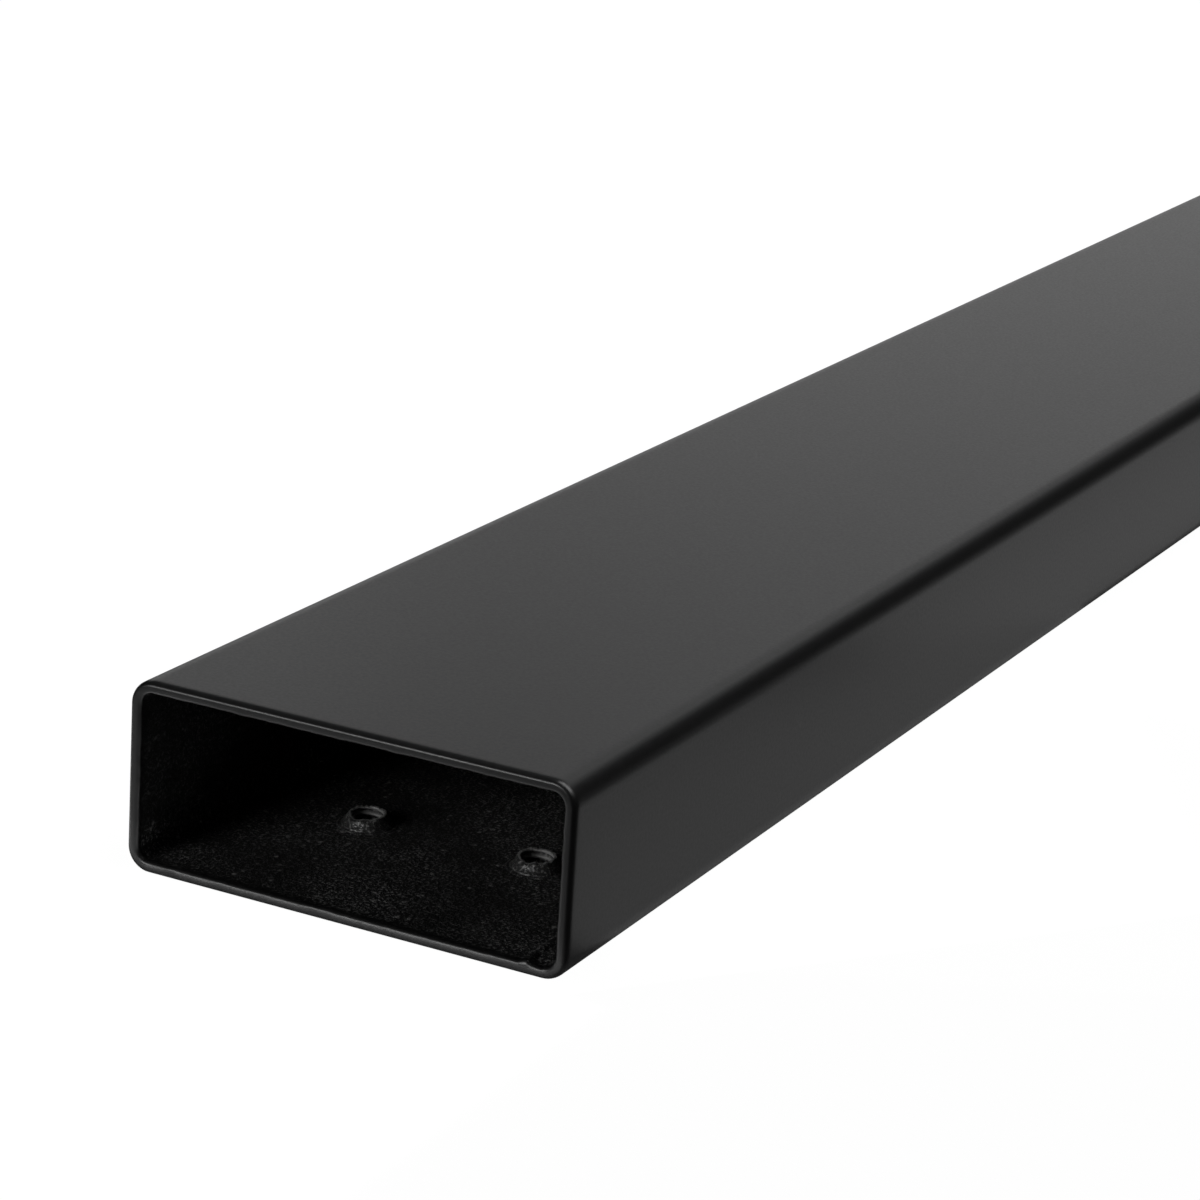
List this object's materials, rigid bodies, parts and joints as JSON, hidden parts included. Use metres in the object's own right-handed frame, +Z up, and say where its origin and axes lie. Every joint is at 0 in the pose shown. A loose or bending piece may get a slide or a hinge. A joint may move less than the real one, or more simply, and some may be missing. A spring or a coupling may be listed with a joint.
{
  "type": "rectangular handrail tube",
  "caption": "Flat rectangular steel handrail tube, powder-coated black, open at both square-cut ends, with pairs of flow-drilled threaded holes in its underside near each end.",
  "frame": {"origin": "on the floor under the middle of the tube, at the bottom centre of its box", "axes": "+Y along the length, away from the end that the picture shows; +X across the width, to the right as seen from that end; +Z up, out of the plain wide face"},
  "size_m": [0.05, 1, 0.0203],
  "materials": {
    "black_powder_coat": "satin black powder coat over steel, inside as well as outside"
  },
  "bodies": {
    "root": {"handrail_tube": "black_powder_coat"}
  },
  "joints": []
}
